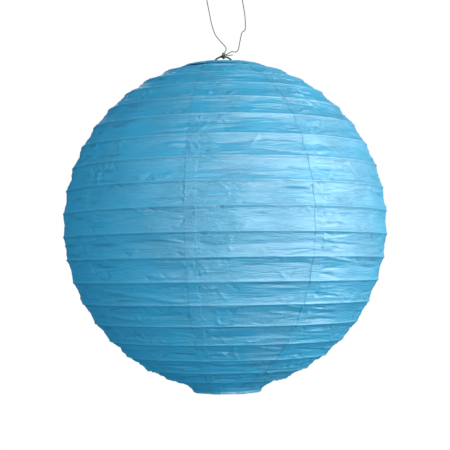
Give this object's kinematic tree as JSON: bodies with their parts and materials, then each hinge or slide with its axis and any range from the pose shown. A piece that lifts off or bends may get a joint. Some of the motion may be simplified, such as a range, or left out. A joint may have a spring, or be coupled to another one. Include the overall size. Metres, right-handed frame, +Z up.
{
  "type": "paper lantern",
  "caption": "Round collapsible paper lantern: pasted paper gores over wire rib hoops, held open by a sprung wire expander and hung on a knotted cord loop.",
  "frame": {"origin": "top of the cord loop, where it hangs from a nail or hook; the shade's centre is straight below", "axes": "+Z up, -Y the front that faces a viewer, +X to the viewer's right, along the expander's crossbar"},
  "size_m": [0.3524, 0.3524, 0.4723],
  "materials": {
    "paper": "thin crinkled turquoise-blue tissue paper, translucent, matt",
    "rib_wire": "drawn steel wire",
    "expander_wire": "grey galvanised steel wire",
    "cord": "thin twisted olive-green twine"
  },
  "bodies": {
    "cord": {"hanging_cord": "cord"},
    "knot": {"cord_knot": "cord"},
    "expander": {"expander_crossbar": "expander_wire", "top_rim_ring": "rib_wire", "paper_gore_1": "paper", "paper_gore_2": "paper", "paper_gore_3": "paper", "paper_gore_4": "paper", "paper_gore_5": "paper", "paper_gore_6": "paper", "paper_gore_7": "paper", "paper_gore_8": "paper"},
    "left_leg": {"expander_leg_left": "expander_wire"},
    "right_leg": {"expander_leg_right": "expander_wire"},
    "bottom_rim": {"bottom_rim_ring": "rib_wire"},
    "rib_01": {"rib_ring_01": "rib_wire"},
    "rib_02": {"rib_ring_02": "rib_wire"},
    "rib_03": {"rib_ring_03": "rib_wire"},
    "rib_04": {"rib_ring_04": "rib_wire"},
    "rib_05": {"rib_ring_05": "rib_wire"},
    "rib_06": {"rib_ring_06": "rib_wire"},
    "rib_07": {"rib_ring_07": "rib_wire"},
    "rib_08": {"rib_ring_08": "rib_wire"},
    "rib_09": {"rib_ring_09": "rib_wire"},
    "rib_10": {"rib_ring_10": "rib_wire"},
    "rib_11": {"rib_ring_11": "rib_wire"},
    "rib_12": {"rib_ring_12": "rib_wire"},
    "rib_13": {"rib_ring_13": "rib_wire"},
    "rib_14": {"rib_ring_14": "rib_wire"},
    "rib_15": {"rib_ring_15": "rib_wire"},
    "rib_16": {"rib_ring_16": "rib_wire"},
    "rib_17": {"rib_ring_17": "rib_wire"},
    "rib_18": {"rib_ring_18": "rib_wire"},
    "rib_19": {"rib_ring_19": "rib_wire"}
  },
  "joints": [
    {"name": "side_swing", "type": "hinge", "parent": "cord", "child": "knot", "pos_m": [0, 0, -0.105], "axis": [0, 1, 0], "range_deg": [-15, 15]},
    {"name": "front_swing", "type": "hinge", "parent": "knot", "child": "expander", "pos_m": [0, 0, -0.105], "axis": [1, 0, 0], "range_deg": [-25, 25]},
    {"name": "left_leg_squeeze", "type": "hinge", "parent": "expander", "child": "left_leg", "pos_m": [-0.028, 0, -0.117], "axis": [0, -1, 0], "range_deg": [0, 3], "stiffness_Nm_per_rad": 2},
    {"name": "right_leg_squeeze", "type": "hinge", "parent": "expander", "child": "right_leg", "pos_m": [0.028, 0, -0.117], "axis": [0, 1, 0], "range_deg": [0, 3], "stiffness_Nm_per_rad": 2},
    {"name": "shade_collapse", "type": "slide", "parent": "expander", "child": "bottom_rim", "axis": [0, 0, 1], "range_m": [0, 0.3311], "deforming": ["paper_gore_1", "paper_gore_2", "paper_gore_3", "paper_gore_4", "paper_gore_5", "paper_gore_6", "paper_gore_7", "paper_gore_8"]},
    {"name": "rib_01_rise", "type": "slide", "parent": "expander", "child": "rib_01", "axis": [0, 0, 1], "range_m": [0, 0.00723]},
    {"name": "rib_02_rise", "type": "slide", "parent": "expander", "child": "rib_02", "axis": [0, 0, 1], "range_m": [0, 0.01745]},
    {"name": "rib_03_rise", "type": "slide", "parent": "expander", "child": "rib_03", "axis": [0, 0, 1], "range_m": [0, 0.03051]},
    {"name": "rib_04_rise", "type": "slide", "parent": "expander", "child": "rib_04", "axis": [0, 0, 1], "range_m": [0, 0.04613]},
    {"name": "rib_05_rise", "type": "slide", "parent": "expander", "child": "rib_05", "axis": [0, 0, 1], "range_m": [0, 0.06401]},
    {"name": "rib_06_rise", "type": "slide", "parent": "expander", "child": "rib_06", "axis": [0, 0, 1], "range_m": [0, 0.08381]},
    {"name": "rib_07_rise", "type": "slide", "parent": "expander", "child": "rib_07", "axis": [0, 0, 1], "range_m": [0, 0.10514]},
    {"name": "rib_08_rise", "type": "slide", "parent": "expander", "child": "rib_08", "axis": [0, 0, 1], "range_m": [0, 0.12758]},
    {"name": "rib_09_rise", "type": "slide", "parent": "expander", "child": "rib_09", "axis": [0, 0, 1], "range_m": [0, 0.1507]},
    {"name": "rib_10_rise", "type": "slide", "parent": "expander", "child": "rib_10", "axis": [0, 0, 1], "range_m": [0, 0.17404]},
    {"name": "rib_11_rise", "type": "slide", "parent": "expander", "child": "rib_11", "axis": [0, 0, 1], "range_m": [0, 0.19716]},
    {"name": "rib_12_rise", "type": "slide", "parent": "expander", "child": "rib_12", "axis": [0, 0, 1], "range_m": [0, 0.2196]},
    {"name": "rib_13_rise", "type": "slide", "parent": "expander", "child": "rib_13", "axis": [0, 0, 1], "range_m": [0, 0.24093]},
    {"name": "rib_14_rise", "type": "slide", "parent": "expander", "child": "rib_14", "axis": [0, 0, 1], "range_m": [0, 0.26073]},
    {"name": "rib_15_rise", "type": "slide", "parent": "expander", "child": "rib_15", "axis": [0, 0, 1], "range_m": [0, 0.27861]},
    {"name": "rib_16_rise", "type": "slide", "parent": "expander", "child": "rib_16", "axis": [0, 0, 1], "range_m": [0, 0.29423]},
    {"name": "rib_17_rise", "type": "slide", "parent": "expander", "child": "rib_17", "axis": [0, 0, 1], "range_m": [0, 0.30728]},
    {"name": "rib_18_rise", "type": "slide", "parent": "expander", "child": "rib_18", "axis": [0, 0, 1], "range_m": [0, 0.31751]},
    {"name": "rib_19_rise", "type": "slide", "parent": "expander", "child": "rib_19", "axis": [0, 0, 1], "range_m": [0, 0.32472]}
  ],
  "couplings": [
    {"joint": "rib_01_rise", "follows": "shade_collapse", "ratio": 0.02178},
    {"joint": "rib_02_rise", "follows": "shade_collapse", "ratio": 0.05267},
    {"joint": "rib_03_rise", "follows": "shade_collapse", "ratio": 0.0921},
    {"joint": "rib_04_rise", "follows": "shade_collapse", "ratio": 0.13927},
    {"joint": "rib_05_rise", "follows": "shade_collapse", "ratio": 0.19328},
    {"joint": "rib_06_rise", "follows": "shade_collapse", "ratio": 0.25307},
    {"joint": "rib_07_rise", "follows": "shade_collapse", "ratio": 0.31749},
    {"joint": "rib_08_rise", "follows": "shade_collapse", "ratio": 0.38527},
    {"joint": "rib_09_rise", "follows": "shade_collapse", "ratio": 0.45509},
    {"joint": "rib_10_rise", "follows": "shade_collapse", "ratio": 0.5256},
    {"joint": "rib_11_rise", "follows": "shade_collapse", "ratio": 0.59543},
    {"joint": "rib_12_rise", "follows": "shade_collapse", "ratio": 0.66321},
    {"joint": "rib_13_rise", "follows": "shade_collapse", "ratio": 0.72762},
    {"joint": "rib_14_rise", "follows": "shade_collapse", "ratio": 0.78742},
    {"joint": "rib_15_rise", "follows": "shade_collapse", "ratio": 0.84143},
    {"joint": "rib_16_rise", "follows": "shade_collapse", "ratio": 0.8886},
    {"joint": "rib_17_rise", "follows": "shade_collapse", "ratio": 0.92802},
    {"joint": "rib_18_rise", "follows": "shade_collapse", "ratio": 0.95892},
    {"joint": "rib_19_rise", "follows": "shade_collapse", "ratio": 0.9807}
  ]
}
